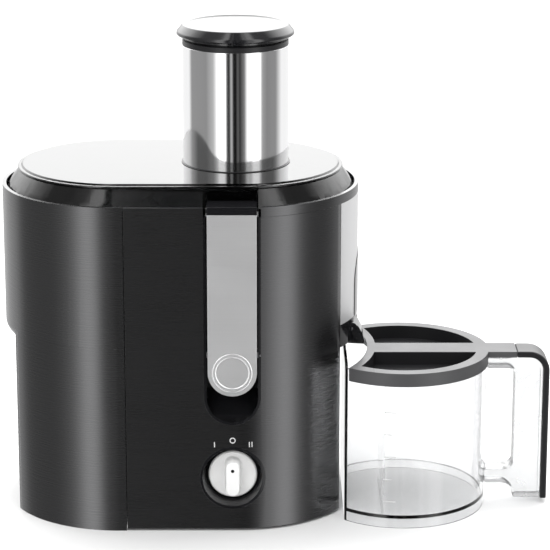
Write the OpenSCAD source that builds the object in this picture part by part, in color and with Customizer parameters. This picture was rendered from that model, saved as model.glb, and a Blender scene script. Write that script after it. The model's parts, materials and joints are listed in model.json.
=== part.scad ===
/* [Body] */
// Depth of the machine body, and the diameter of its round ends
body_depth = 184; // [165:1:225]
// How far the seam of the pulp container lies inside the radius of the body's ends
seam_inset = 9; // [6:1:12]
// Length of the pulp container
container_len = 98; // [80:1:118]
// Distance from the rotor's axis to the centre of the round right end
end_offset = 3; // [0:0.5:5]
// Height of the visible part of the feet
foot_h = 2; // [1:0.5:4]
// Height of the motor bay, from the underside to the top of its deck
motor_bay_h = 129; // [125:1:156]
// Height of the bowl bay, from the deck to the seat of the lid
bowl_bay_h = 119; // [104:1:143]
// Height of the rim above the seat of the lid
rim_h = 5.5; // [4:0.5:8]
// Thickness of the rim
rim_t = 3; // [2.5:0.1:4]
// Width of the ledge inside the rim
ledge_w = 3.5; // [3:0.5:4.5]
// Thickness of the moulded walls
wall = 2.5; // [2:0.1:3]
// Depth cut from the round end below the spout, where the jug stands
jug_cut = 14.5; // [12:0.5:17]
// Thickness of the steel side panel
panel_t = 1; // [0.6:0.1:1.4]
// Height of the spout opening band between the jug cut and the side panel
hood_h = 18; // [16:1:24]

/* [Chute and lid] */
// Bore of the feed chute
chute_bore = 75; // [60:1:78]
// Wall of the feed chute
chute_wall = 2.1; // [1.6:0.1:2.6]
// Wall of the steel sleeve round the chute
sleeve_t = 1; // [0.6:0.1:1.2]
// Height of the steel sleeve above the lid
sleeve_h = 91.5; // [70:1:110]
// Rim of the chute above the sleeve
chute_rim_h = 4; // [3:0.5:6]
// Distance from the lower end of the chute to the grating disc
chute_gap = 9; // [6:1:14]
// Height of the lid's platform above its seat
lid_h = 20; // [17:1:24]
// Thickness of the lid
lid_t = 2.2; // [1.8:0.1:2.8]
// Overall height of the pusher's cap
cap_h = 12; // [9:1:15]
// Overhang of the cap's flange beyond the sleeve
cap_over = 5; // [3:0.5:7]
// Gap between pusher and chute
pusher_gap = 0.5; // [0.4:0.1:0.8]

/* [Clamp] */
// Width of the clamp arm
clamp_w = 37; // [30:1:42]
// Distance from the rotor's axis to the clamp's middle, to the left
clamp_offset = 2; // [0:0.5:6]
// How far the clamp arm's round lower end reaches below the deck
clamp_low = 20.5; // [8.5:0.5:25.5]
// Height of the hinge pin above the arm's lower end
pin_up = 30; // [27:1:32]
// Radius of the hinge pin
pin_r = 2.25; // [1.5:0.25:2.5]
// How far the clamp's plate stands out from the body
clamp_out = 6; // [4:0.5:8]
// Thickness of the steel plate
plate_t = 1.2; // [0.8:0.1:1.6]
// Depth of the hook over the lid
hook_d = 22; // [20:0.5:24]
// Slope of the hook's underside
hook_slope = 32; // [30:1:36]
// Gap on each side of the arm in its channel
channel_gap = 1; // [0.6:0.1:1.5]
// Depth of the channel behind the arm
channel_d = 5.7; // [5:0.1:6.5]
// How far the arm swings open, in degrees
clamp_swing = 40; // [30:1:42]
// Depth of the finger scoop
scoop_d = 25; // [24:0.5:28]
// Distance from the arm's lower end to the foot of the scoop
scoop_below = 23; // [18:1:26]

/* [Control knob] */
// Radius of the dish round the knob
dish_r = 24; // [21:0.5:27]
// Depth of the dish
dish_d = 11.5; // [9:0.5:13]
// Depth of the knob's face in the dish
knob_in = 8; // [6:0.5:9]
// Radius of the knob
knob_r = 18.7; // [16:0.1:20]
// Height of the knob's centre above the table
knob_z = 43; // [38:1:48]
// How far the grip bar stands out from the knob's face
grip_out = 12.5; // [10:0.5:15]
// Width of the grip bar
grip_w = 11; // [8:0.5:13]
// Distance of the printed marks from the knob's centre
mark_r = 30.3; // [29:0.1:31]
// Angle between the marks
mark_step = 27; // [24:1:30]

/* [Basket and drive] */
// Height of the filter basket
basket_h = 72; // [56:1:78]
// Radius of the grating disc
grating_r = 52; // [44:1:54]
// Radius of the motor shaft
shaft_r = 4; // [3:0.5:5]
// Radius of the armature
armature_r = 24; // [20:0.5:26]
// Height of the laminated cores
core_h = 34; // [26:1:36]
// Width of the stator
stator_w = 84; // [78:1:90]
// Running clearance of shafts and pins, on the radius
run_gap = 0.05; // [0.02:0.01:0.1]

/* [Jug] */
// Outer radius of the jug
jug_r = 66.4; // [56:0.1:80]
// Wall of the jug
jug_wall = 2.4; // [2:0.1:3]
// Distance of the jug's axis in front of the rotor's axis
jug_front = 21.7; // [15:0.1:24]
// Gap between the jug's flat side and the body
jug_gap = 3.5; // [2:0.1:5]
// Distance from the jug's axis to its flat side
jug_flat = 45.6; // [38:0.1:50]
// Gap between the jug's lid and the spout above it
spout_gap = 4.2; // [3:0.1:8]
// Height of the jug's foot
jug_foot = 7.5; // [5:0.5:10]
// Width of the handle and of the bar across the lid
bar_w = 24; // [20:1:28]
// Reach of the handle beyond the jug's wall
handle_reach = 48.6; // [42:0.1:56]
// Thickness of the strip on the handle
strip_t = 5; // [4:0.5:6]
// Width of the ring round the jug's lid
lid_ring_w = 9.5; // [7:0.5:12]
// Height of the skirt of the jug's lid
skirt_h = 10.5; // [8:0.5:14]
// Thickness of the skirt of the jug's lid
skirt_t = 1; // [0.8:0.1:1.4]

/* [Hidden] */
$fn = 96;
tiny = 0.01;
gap = 0.5;
slide_gap = 0.3;
far = 1000;

// Plan of the body, from the rotor's axis
body_r = body_depth / 2;
end_x = end_offset;
body_right = end_x + body_r;
seam_x = seam_inset - body_r;
body_left = seam_x - container_len;
left_x = body_left + body_r;
flat_x = body_right - jug_cut;
tuck_x = body_left + 11;

// Heights above the table
bottom_z = foot_h;
plate_z = bottom_z + 3;
deck_z = bottom_z + motor_bay_h;
deck_t = 2.5;
seat_z = deck_z + bowl_bay_h;
rim_z = seat_z + rim_h;
band_z = seat_z - 2;
flange_t = 1.5;
ledge_t = 1.5;
ledge_z = seat_z - flange_t - ledge_t;
lid_z = seat_z + lid_h;
hood_z = deck_z + 3;
panel_z = hood_z + hood_h;

// Chute, sleeve and cap
bore_r = chute_bore / 2;
chute_r = bore_r + chute_wall;
sleeve_r = chute_r + 0.2 + sleeve_t;
sleeve_z = lid_z + 0.5;
sleeve_top = sleeve_z + sleeve_h;
chute_top = sleeve_top + chute_rim_h;
cap_top = chute_top + cap_h;

// Clamp, in its closed place
clamp_x = -clamp_offset;
front_y = -body_r;
plate_y = front_y - clamp_out;
arm_back_y = front_y + channel_d - 0.7;
head_z = rim_z + 2;
heel_z = deck_z - clamp_low;
clamp_r = clamp_w / 2;
pin_z = heel_z + pin_up;
pin_y = front_y + pin_r + 1.25;
barrel_r = pin_r + 2.75;
ring_proud = 0.5;
hook_y = plate_y + hook_d;
hook_t = 3;
channel_r = clamp_r + channel_gap;
recess_r = channel_r + 2;
scoop_z = heel_z - scoop_below;
scoop_y = front_y + scoop_d;
pocket_x = clamp_r + 1.2;
lip_side = pocket_x + lid_t + gap;
seat_y = arm_back_y + 0.4;

// Bowl, basket and drive
gutter_r = body_r - channel_d - 2 - 1;
bowl_r = flat_x - wall - 1.5;
bowl_z = deck_z + 5;
floor_t = 2.5;
basket_top = seat_z - 14;
basket_z = basket_top - basket_h;
basket_r = bowl_r - floor_t - 4;
gutter_z = basket_top - 22;
hub_ring_r = 18;
coupling_r = 12;
coupling_z = deck_z + 3;
shaft_top = basket_z - 10;

// Motor, stacked up from the base plate
mount_h = 15;
bracket_z = plate_z + mount_h;
bracket_t = 3;
bearing_r = 11;
bearing_h = 7;
fan_z = bracket_z + 29;
fan_h = 7;
fan_r = 33;
coil_h = 8;
core_z = fan_z + fan_h + 2 + coil_h;
core_top = core_z + core_h;
post_r = 4;
post_x = stator_w / 2 - 6;
top_plate_z = core_top + coil_h + 10;

// Jug, lid and handle
jug_x = flat_x + jug_gap + jug_flat;
jug_y = -jug_front;
spout_z = hood_z - 1;
spout_w = 26;
beak_z = spout_z - 3.4;
jug_lid_z = beak_z - spout_gap;
jug_h = jug_lid_z - 1.5;
lid_r = jug_r + slide_gap + skirt_t;
handle_x = jug_x + jug_r + handle_reach;
seam_in = jug_r + 22.8;
notch_r = 122;
notch_off = 8.4;
notch_x = flat_x + jug_gap + 18.6 - notch_r;
notch_y = jug_y + notch_off;
spout_y = notch_y;
bar_t = strip_t - slide_gap;
grip_top = jug_lid_z - strip_t;
grip_w2 = bar_w - 3;

// Middle of the bounding box, which is put at the origin
grip_y = front_y + knob_in - grip_out;
front_most = min(plate_y - ring_proud, grip_y);
back_most = body_r;
mid_x = (body_left + handle_x) / 2;
mid_y = (front_most + back_most) / 2;

module placed() {
    translate([-mid_x, -mid_y, 0]) children();
}

module at(x, y, z) {
    translate([x, y, z]) children();
}

// A ring or a disc about the rotor's axis
module ring(outer, inner, z, h) {
    at(0, 0, z) difference() {
        cylinder(r = outer, h = h);
        if (inner > 0) at(0, 0, -1) cylinder(r = inner, h = h + 2);
    }
}

// A turned part about the rotor's axis
module turned(points) {
    rotate_extrude() polygon(points);
}

module block(x0, x1, y0, y1, z0, z1) {
    at(x0, y0, z0) cube([x1 - x0, y1 - y0, z1 - z0]);
}

// A cylinder along Y, from y0 to y1
module rod_y(x, z, r, y0, y1) {
    at(x, y1, z) rotate([90, 0, 0]) cylinder(r = r, h = y1 - y0);
}

// A cylinder along X, from x0 to x1
module rod_x(y, z, r, x0, x1) {
    at(x0, y, z) rotate([0, 90, 0]) cylinder(r = r, h = x1 - x0);
}

module each_corner(x, y) {
    for (sx = [-1, 1], sy = [-1, 1]) at(sx * x, sy * y, 0) children();
}

// Plan of the whole body, drawn in by inset
module body_plan(inset) {
    r = body_r - inset;
    at(end_x, 0, 0) circle(r = r);
    at(left_x, 0, 0) circle(r = r);
    at(left_x, -r, 0) square([end_x - left_x, 2 * r]);
}

// Plan between two values of x
module plan_between(inset, x0, x1) {
    intersection() {
        body_plan(inset);
        at(x0, -body_r - 1, 0) square([x1 - x0, 2 * body_r + 2]);
    }
}

// A wall that follows the plan
module plan_wall(inset, t, x0, x1, z0, z1) {
    at(0, 0, z0) linear_extrude(z1 - z0) difference() {
        plan_between(inset, x0, x1);
        plan_between(inset + t, x0 - 1, x1 + 1);
    }
}

// Outline on the front of the body: a slot with a round lower end, open upwards
module front_slot(r, low, high, y0, y1) {
    at(clamp_x, y1, 0) rotate([90, 0, 0]) linear_extrude(y1 - y0) union() {
        at(0, low + r, 0) circle(r = r);
        at(-r, low + r, 0) square([2 * r, high - low - r]);
    }
}

// ---- Fixed body ----

vent_n = 8;
vent_step = 9;
vent_z = 30;
vent_x0 = -42;
vent_x1 = 38;

module motor_housing() {
    color([0.16, 0.16, 0.17]) difference() {
        union() {
            at(0, 0, bottom_z) linear_extrude(panel_z - bottom_z) plan_between(0, seam_x + gap / 2, flat_x);
            at(0, 0, panel_z) linear_extrude(band_z - panel_z) plan_between(0, seam_x + gap / 2, far);
        }
        at(0, 0, bottom_z - 1) linear_extrude(deck_z - deck_t - bottom_z + 1)
            plan_between(wall, seam_x + gap / 2 + wall, flat_x - wall);
        at(0, 0, deck_z) linear_extrude(panel_z + wall - deck_z + tiny)
            plan_between(wall, seam_x + gap / 2 + wall, flat_x - wall);
        at(0, 0, panel_z + wall) linear_extrude(rim_z - panel_z)
            plan_between(wall, seam_x + gap / 2 + wall, far);
        // passage for the pulp
        block(seam_x - 1, seam_x + wall + 1, -lip_y - 1, lip_y + 1, gutter_z - 1, rim_z);
        // steel panel lies in a step
        plan_wall(0, panel_t, flat_x, far, panel_z - 1, rim_z);
        // juice spout passes through the flat side and under the panel
        block(flat_x - wall - 1, far, spout_y - spout_w / 2 - gap, spout_y + spout_w / 2 + gap,
            hood_z - 1, panel_z - 2);
        front_slot(recess_r, scoop_z - 2, rim_z + 1, front_y - 1, front_y + channel_d + 2);
        intersection() {
            front_slot(recess_r, scoop_z - 2, rim_z + 1, front_y - 1, scoop_y + 3);
            scoop_section(2);
        }
        rod_y(clamp_x, knob_z, dish_r + 1, front_y - 1, front_y + wall + 4);
        ring(hub_ring_r, 0, deck_z - deck_t - 1, deck_t + 2);
        for (i = [0 : vent_n - 1])
            block(vent_x0, vent_x1, 0, far, vent_z + vent_step * i, vent_z + vent_step * i + 4);
        rod_y(gland_x, gland_z, 9, body_r - wall - 1, body_r + 1);
    }
}

gland_x = -60;
gland_z = 22;

module top_trim_ring() {
    color([0.08, 0.08, 0.09]) difference() {
        union() {
            plan_wall(0, rim_t, seam_x + gap / 2, far, band_z, rim_z);
            plan_wall(wall, rim_t + ledge_w - wall, seam_x + gap / 2 + wall, far, ledge_z, ledge_z + ledge_t);
        }
        block(clamp_x - recess_r, clamp_x + recess_r, front_y - 1, hook_y, ledge_z - 1, rim_z + 1);
        block(clamp_x - lip_side, clamp_x + lip_side, front_y + rim_t, hook_y, ledge_z - 1, rim_z + 1);
    }
}

module side_panel() {
    color([0.78, 0.79, 0.8]) difference() {
        plan_wall(0, panel_t, flat_x, far, panel_z, band_z);
        arch_prism(arch_r + slide_gap);
    }
}

arch_r = 24;
arch_z = panel_z + 25;
arch_out = 0.5;

module arch_prism(r) {
    rod_x(0, arch_z, r, flat_x, far);
    block(flat_x, far, -r, r, panel_z - 1, arch_z);
}

// Round-headed cover over the spout, let into the steel panel
module spout_arch() {
    color([0.07, 0.07, 0.08]) intersection() {
        plan_wall(-arch_out, panel_t + arch_out, flat_x, far, panel_z, band_z);
        arch_prism(arch_r);
    }
}

module base_plate() {
    color([0.1, 0.1, 0.1]) difference() {
        union() {
            at(0, 0, bottom_z) linear_extrude(plate_z - bottom_z)
                plan_between(wall + 0.2, seam_x + gap / 2 + wall + 0.2, flat_x - wall - 0.2);
            each_corner(post_x - 4, post_x - 4) at(0, 0, plate_z) ring(9, 7, 0, 3);
            for (y = [-26, 26]) at(board_x, y, 0) ring(3.5, 0, plate_z, 6);
        }
        each_corner(foot_x, foot_y) ring(foot_r, 0, bottom_z - 1, 2.5);
        each_corner(screw_x, screw_y) ring(screw_r, 0, bottom_z - 1, 9);
        for (i = [-4 : 4]) block(-24, 24, 9 * i - 2, 9 * i + 2, bottom_z - 1, plate_z + 1);
    }
}

foot_r = 10;
foot_x = 55;
foot_y = body_r - 34;
screw_x = 66;
screw_y = body_r - 52;
screw_r = 2;
board_x = seam_x + 20;

module rubber_feet() {
    color([0.07, 0.07, 0.07]) each_corner(foot_x, foot_y) {
        turned([[0, 0], [foot_r - 2.5, 0], [foot_r - 1.5, bottom_z], [foot_r, bottom_z],
            [foot_r, bottom_z + 1.5], [0, bottom_z + 1.5]]);
    }
}

module base_screws() {
    color([0.6, 0.6, 0.6]) each_corner(screw_x, screw_y) difference() {
        union() {
            ring(screw_r, 0, bottom_z, 8);
            ring(3.5, 0, bottom_z - 1.2, 1.2);
        }
        for (a = [0, 90]) rotate([0, 0, a]) block(-2.4, 2.4, -0.5, 0.5, bottom_z - 2, bottom_z - 0.4);
    }
}

// Section of the finger scoop, grown by g: its roof clears the heel of the open arm
module scoop_section(g) {
    back = scoop_y + g;
    knee = pin_y + barrel_r + 1 + g;
    reach = (arm_back_y - pin_y + 1.2 + g) / cos(clamp_swing);
    foot = scoop_z - g / cos(foot_slope);
    at(-far / 2, 0, 0) rotate([90, 0, 90]) linear_extrude(far) polygon([
        [front_y - 1, foot - tan(foot_slope)], [back, foot + (back - front_y) * tan(foot_slope)],
        [back, pin_z - (back - pin_y - reach) / tan(clamp_swing)],
        [knee, pin_z - (knee - pin_y - reach) / tan(clamp_swing)],
        [knee, pin_z + barrel_r + 2 + g], [front_y - 1, pin_z + barrel_r + 2 + g]]);
}

foot_slope = 38;

module clamp_recess() {
    color([0.05, 0.05, 0.06]) difference() {
        intersection() {
            front_slot(recess_r, scoop_z - 2, band_z, front_y, scoop_y + 3);
            union() {
                block(-far, far, front_y - 1, front_y + channel_d + 2, scoop_z - 3, far);
                scoop_section(2);
            }
            linear_extrude(far) body_plan(0);
        }
        front_slot(channel_r, scoop_z, band_z + 1, front_y - 1, front_y + channel_d);
        intersection() {
            front_slot(channel_r, scoop_z, band_z + 1, front_y - 1, scoop_y + 1);
            scoop_section(0);
        }
        rod_x(pin_y, pin_z, pin_r, clamp_x - recess_r - 1, clamp_x + recess_r + 1);
        // the lid's lip drops in behind the hook
        block(clamp_x - far, clamp_x + far, seat_y - gap, far, lip_low_z - gap, band_z + 1);
    }
}

module clamp_pivot_pin() {
    color([0.7, 0.7, 0.7]) rod_x(pin_y, pin_z, pin_r, clamp_x - recess_r, clamp_x + recess_r);
}

module knob_dish() {
    color([0.04, 0.04, 0.05]) intersection() {
        at(clamp_x, front_y, knob_z) rotate([-90, 0, 0]) rotate_extrude() polygon([
            [spindle_r + run_gap, dish_d], [knob_r + 1, dish_d], [dish_r - 2, 4], [dish_r - 1, 0],
            [dish_r + 1, 0], [dish_r + 1, wall + 3], [knob_r + 3, dish_d + 2],
            [spindle_r + run_gap, dish_d + 2]]);
        linear_extrude(far) body_plan(0);
    }
}

spindle_r = 3;
mark_t = 0.3;

module speed_marks() {
    color([0.75, 0.75, 0.75]) intersection() {
        plan_wall(-mark_t, mark_t, clamp_x - mark_r, clamp_x + mark_r, knob_z, knob_z + 2 * mark_r);
        at(clamp_x, front_y, knob_z) {
            rotate([0, -mark_step, 0]) at(0, 0, mark_r) rotate([0, mark_step, 0]) mark_bar(0);
            at(0, 1, mark_r) rotate([90, 0, 0]) difference() {
                cylinder(r = 2.3, h = 2);
                at(0, 0, -1) cylinder(r = 1.6, h = 4);
            }
            rotate([0, mark_step, 0]) at(0, 0, mark_r) rotate([0, -mark_step, 0]) {
                mark_bar(-1);
                mark_bar(1);
            }
        }
    }
}

module mark_bar(x) {
    block(x - 0.35, x + 0.35, -1, 1, -2.1, 2.1);
}

switch_y = front_y + dish_d + 2;

module speed_switch() {
    color([0.2, 0.2, 0.22]) difference() {
        union() {
            block(clamp_x - 15, clamp_x + 15, switch_y, switch_y + 18, knob_z - 14, knob_z + 14);
            for (x = [-9, 0, 9]) block(clamp_x + x - 2, clamp_x + x + 2, switch_y + 18, switch_y + 25,
                knob_z - 8, knob_z - 7.2);
        }
        rod_y(clamp_x, knob_z, spindle_r + run_gap, switch_y - 1, switch_y + 9);
    }
}

module motor_stator() {
    color([0.45, 0.46, 0.48]) difference() {
        intersection() {
            block(-stator_w / 2, stator_w / 2, -stator_w / 2, stator_w / 2, core_z, core_top);
            ring(stator_w * 0.64, 0, core_z, core_h);
        }
        ring(armature_r + 0.6, 0, core_z - 1, core_h + 2);
        for (s = [0, 180]) rotate([0, 0, s]) intersection() {
            ring(armature_r + 13, armature_r + 3, core_z - 1, core_h + 2);
            block(-far, -12, -far, far, core_z - 2, core_top + 2);
        }
        each_corner(post_x, post_x) ring(2, 0, core_z - 1, core_h + 2);
    }
}

// Half-round end turns above and below the core, joined by the sides in the slots
module field_coils() {
    color([0.72, 0.38, 0.18]) for (s = [0, 180]) rotate([0, 0, s]) intersection() {
        ring(armature_r + 12.5, armature_r + 3.5, core_z - coil_h, core_h + 2 * coil_h);
        block(-far, -13, -far, far, core_z - far, core_top + far);
    }
}

module bracket_plate(z) {
    intersection() {
        ring(post_x * 1.414 + 7, 0, z, bracket_t);
        union() for (a = [45, 135]) rotate([0, 0, a])
            block(-far, far, -11, 11, z, z + bracket_t);
    }
}

module upper_bracket() {
    color([0.75, 0.76, 0.78]) difference() {
        union() {
            bracket_plate(top_plate_z);
            ring(bearing_r + 3, 0, top_plate_z - bearing_h - 1, bearing_h + 1 + bracket_t);
            each_corner(post_x, post_x) ring(post_r, 0, core_top, top_plate_z + bracket_t - core_top);
        }
        ring(bearing_r, 0, top_plate_z - bearing_h - 2, bearing_h + 2);
        ring(shaft_r + 1.5, 0, top_plate_z - 1, bracket_t + 2);
        each_corner(post_x, post_x) ring(2, 0, core_top - 1, far);
    }
}

module lower_bracket() {
    color([0.75, 0.76, 0.78]) difference() {
        union() {
            bracket_plate(bracket_z);
            ring(bearing_r + 3, 0, bracket_z, bearing_h + 4);
            each_corner(post_x, post_x) ring(post_r, 0, bracket_z, core_z - bracket_z);
            for (s = [-1, 1]) block(-7, 7, s * 24 - 7, s * 24 + 7, bracket_z, brush_z);
        }
        ring(bearing_r, 0, bracket_z + 4, bearing_h + 1);
        ring(shaft_r + 1.5, 0, bracket_z - 1, far);
        each_corner(post_x, post_x) ring(2, 0, bracket_z - 1, far);
    }
}

brush_z = bracket_z + 15;
brush_h = 10;
commutator_r = 12;

module motor_bolts() {
    color([0.6, 0.6, 0.6]) each_corner(post_x, post_x) {
        ring(2, 0, bracket_z, top_plate_z + bracket_t - bracket_z);
        at(0, 0, top_plate_z + bracket_t) cylinder(r = 4, h = 3, $fn = 6);
    }
}

module motor_mounts() {
    color([0.1, 0.1, 0.1]) each_corner(post_x - 4, post_x - 4)
        turned([[0, plate_z], [7, plate_z], [7, plate_z + 4], [5, plate_z + 6],
            [5, bracket_z - 3], [7, bracket_z - 1], [7, bracket_z], [0, bracket_z]]);
}

module bearing(z) {
    color([0.7, 0.71, 0.73]) turned([[shaft_r + run_gap, z], [shaft_r + 2.5, z], [shaft_r + 2.5, z + 0.5],
        [bearing_r - 2, z + 0.5], [bearing_r - 2, z], [bearing_r, z], [bearing_r, z + bearing_h],
        [bearing_r - 2, z + bearing_h], [bearing_r - 2, z + bearing_h - 0.5],
        [shaft_r + 2.5, z + bearing_h - 0.5], [shaft_r + 2.5, z + bearing_h], [shaft_r + run_gap, z + bearing_h]]);
}

module upper_bearing() {
    bearing(top_plate_z - bearing_h);
}

module lower_bearing() {
    bearing(bracket_z + 4);
}

module brush_holders() {
    color([0.5, 0.32, 0.2]) for (s = [0, 180]) rotate([0, 0, s]) difference() {
        block(-6, 6, commutator_r + 1.5, commutator_r + 24, brush_z, brush_z + brush_h);
        block(-3.5, 3.5, commutator_r, commutator_r + 21, brush_z + 2, brush_z + brush_h - 2);
    }
}

module carbon_brushes() {
    color([0.12, 0.12, 0.12]) for (s = [0, 180]) rotate([0, 0, s])
        block(-3.5, 3.5, commutator_r + slide_gap, commutator_r + 15, brush_z + 2, brush_z + brush_h - 2);
}

module control_board() {
    color([0.1, 0.35, 0.18]) {
        block(board_x - 12, board_x + 12, -40, 40, plate_z + 6, plate_z + 7.6);
        block(board_x - 9, board_x + 9, -34, -8, plate_z + 7.6, plate_z + 24);
        at(board_x, 8, 0) ring(8, 0, plate_z + 7.6, 24);
        block(board_x - 7, board_x + 7, 20, 24, plate_z + 7.6, plate_z + 20);
        for (y = [29, 33, 37]) block(board_x - 3, board_x + 3, y - 1, y + 1, plate_z + 7.6, plate_z + 14);
    }
}

module interlock_switch() {
    color([0.15, 0.15, 0.17]) {
        block(clamp_x - 10, clamp_x + 10, scoop_y + 2, scoop_y + 8.5, pin_z - 33, pin_z - 23);
        for (x = [-6, 0, 6]) block(clamp_x + x - 1.5, clamp_x + x + 1.5, scoop_y + 8.5, scoop_y + 14,
            pin_z - 28, pin_z - 27.2);
    }
}

module cord_gland() {
    color([0.06, 0.06, 0.06]) at(gland_x, body_r, gland_z) rotate([90, 0, 0]) difference() {
        union() {
            cylinder(r = 9, h = wall + 6);
            at(0, 0, wall) cylinder(r = 11, h = 4);
        }
        at(0, 0, -1) cylinder(r = 3.5, h = far);
        at(0, 0, -1) cylinder(r = 6, h = 3);
    }
}

// Grille behind the slots in the back of the housing
module rear_vent() {
    color([0.09, 0.09, 0.1]) difference() {
        plan_wall(wall, 2, vent_x0 - 3, vent_x1 + 3, vent_z - 3, vent_z + vent_step * vent_n);
        block(-far, far, -far, 0, 0, far);
        for (x = [vent_x0 : 8 : vent_x1 - 5]) block(x, x + 5, 0, far, vent_z, vent_z + vent_step * vent_n - 4);
    }
}

module shaft_seal() {
    color([0.12, 0.12, 0.12]) turned([[shaft_r + run_gap, deck_z - deck_t], [hub_ring_r, deck_z - deck_t],
        [hub_ring_r, deck_z], [hub_ring_r + 3, deck_z], [hub_ring_r + 3, deck_z + 1.5], [8, deck_z + 1.5],
        [shaft_r + run_gap, deck_z + 2.5]]);
}

// Juice bowl, the gutter that carries the pulp to the left, and the spout
module juice_collector() {
    color([0.12, 0.12, 0.13]) difference() {
        union() {
            ring(bowl_r, 0, bowl_z, gutter_z - bowl_z + floor_t);
            ring(bowl_r, bowl_r - floor_t, bowl_z, basket_top - 6 - bowl_z);
            ring(gutter_r, bowl_r - 1, gutter_z, floor_t);
            ring(gutter_r, gutter_r - floor_t, gutter_z, seat_z - gutter_z);
            difference() {
                block(lip_x, -20, -lip_y, lip_y, gutter_z, seat_z - 6);
                block(lip_x - 1, 0, floor_t - lip_y, lip_y - floor_t, gutter_z + floor_t, seat_z);
                ring(bowl_r - 1, 0, gutter_z - 1, far);
            }
            // flange that rests on the ledge
            at(0, 0, seat_z - flange_t) linear_extrude(flange_t) difference() {
                plan_between(rim_t + gap, seam_x + wall + 2, far);
                circle(r = gutter_r - floor_t);
                at(-far, floor_t - lip_y, 0) square([far - 20, 2 * (lip_y - floor_t)]);
            }
            // feet that stand on the deck
            for (a = [60, 180, 300]) rotate([0, 0, a]) at(bowl_r - 12, 0, 0) ring(5, 0, deck_z, bowl_z - deck_z + 1);
            spout_outer();
        }
        ring(bowl_r - floor_t, hub_ring_r + floor_t, bowl_z + floor_t, far);
        ring(hub_ring_r, 0, bowl_z - 1, far);
        ring(hub_ring_r + floor_t + 1, 0, basket_z - 4, far);
        // way out for the pulp, through the left of the gutter wall
        difference() {
            block(lip_x - 1, -gutter_r * 0.4, floor_t - lip_y, lip_y - floor_t, gutter_z + floor_t, far);
            ring(bowl_r, 0, gutter_z, seat_z - gutter_z);
        }
        spout_inner();
        block(clamp_x - lip_side, clamp_x + lip_side, -far, hook_y + lid_t + 2, lip_low_z - gap, far);
    }
}

lip_x = seam_x - wall - 6;
lip_y = bowl_r - 3;

module spout_outer() {
    block(bowl_r * 0.85, flat_x + 2, spout_y - spout_w / 2, spout_y + spout_w / 2, bowl_z - 1, panel_z - 5);
}

module spout_inner() {
    block(bowl_r * 0.8, flat_x + 3, spout_y - spout_w / 2 + 2, spout_y + spout_w / 2 - 2,
        bowl_z + floor_t, panel_z - 7);
}

// Black band under the steel panel, with the mouth of the spout
module spout_hood() {
    y0 = spout_y - spout_w / 2;
    y1 = spout_y + spout_w / 2;
    color([0.06, 0.06, 0.07]) difference() {
        union() {
            difference() {
                at(0, 0, hood_z) linear_extrude(panel_z - hood_z) plan_between(0, flat_x, far);
                at(0, 0, hood_z - 1) linear_extrude(panel_z - hood_z - 1) plan_between(wall, flat_x - 1, far);
            }
            block(flat_x, hinge_x - 6, y0 - 2, y1 + 2, hood_z, panel_z);
            // ears that carry the drip stop
            for (s = [-1, 1]) {
                e0 = spout_y + s * (spout_w / 2 + 0.5);
                rod_y(hinge_x, hinge_z, 5, min(e0, e0 + s * 2), max(e0, e0 + s * 2));
                block(flat_x, hinge_x, min(e0, e0 + s * 2), max(e0, e0 + s * 2), hinge_z - 5, panel_z);
            }
        }
        block(flat_x - 1, far, y0, y1, hood_z - 1, panel_z - 3);
        block(hinge_x - 9, far, y0 - 0.5, y1 + 0.5, hood_z - 1, panel_z - 3);
        rod_y(hinge_x, hinge_z, 1.5, y0 - 4, y1 + 4);
    }
}

hinge_x = body_right - 5.5;
hinge_z = panel_z - 9;

module spout_pin() {
    color([0.65, 0.65, 0.65]) rod_y(hinge_x, hinge_z, 1.5, spout_y - spout_w / 2 - 2.5, spout_y + spout_w / 2 + 2.5);
}

// Snout that turns up to stop the drips: a hood open on the left and below
module drip_stop() {
    y0 = spout_y - spout_w / 2 + slide_gap;
    y1 = spout_y + spout_w / 2 - slide_gap;
    side = 2;
    color([0.05, 0.05, 0.06]) difference() {
        snout_profile(0, y0, y1);
        snout_profile(2, y0 + side, y1 - side);
        rod_y(hinge_x, hinge_z, 1.5 + run_gap, y0 - 1, y1 + 1);
    }
}

module snout_profile(t, y0, y1) {
    top = hinge_z + 4.5 - 2 * t;
    nose = hinge_x + 10.5 - t;
    at(0, y1, 0) rotate([90, 0, 0]) linear_extrude(y1 - y0) polygon([
        [hinge_x - 5 - t * 2, beak_z + 1 - t], [hinge_x - 5 - t * 2, top - 2], [hinge_x - 3 - t, top],
        [hinge_x + 2, top - t / 4], [hinge_x + 6 - t, top - 4], [nose - 1.5, hinge_z - 5], [nose, beak_z + 2.5],
        [nose - 0.6, beak_z - t], [hinge_x + 2, beak_z + 0.4 - t]]);
}

// ---- Rotor ----

module rotor_shaft() {
    color([0.75, 0.75, 0.77]) {
        ring(shaft_r, 0, bracket_z + 4, shaft_top - bracket_z - 4);
    }
}

module armature() {
    slots = 12;
    color([0.4, 0.4, 0.42]) difference() {
        union() {
            ring(armature_r, shaft_r, core_z, core_h);
            ring(armature_r - 5, shaft_r, core_z - 5, 5);
            ring(armature_r - 5, shaft_r, core_top, 5);
        }
        for (i = [0 : slots - 1]) rotate([0, 0, i * 360 / slots])
            block(armature_r - 3, armature_r + 1, -1.2, 1.2, core_z - 1, core_top + 1);
    }
}

module commutator() {
    bars = 16;
    color([0.75, 0.45, 0.25]) difference() {
        ring(commutator_r, shaft_r, brush_z - 1, brush_h + 2);
        for (i = [0 : bars - 1]) rotate([0, 0, i * 360 / bars])
            block(commutator_r - 1, commutator_r + 1, -0.3, 0.3, brush_z - 2, brush_z + brush_h + 2);
    }
}

module cooling_fan() {
    blades = 11;
    color([0.15, 0.15, 0.16]) {
        ring(9, shaft_r, fan_z, fan_h);
        ring(fan_r, 8.5, fan_z, 1.5);
        for (i = [0 : blades - 1]) rotate([0, 0, i * 360 / blades])
            block(8.5, fan_r - 0.5, -0.8, 0.8, fan_z + 1, fan_z + fan_h);
    }
}

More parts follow.
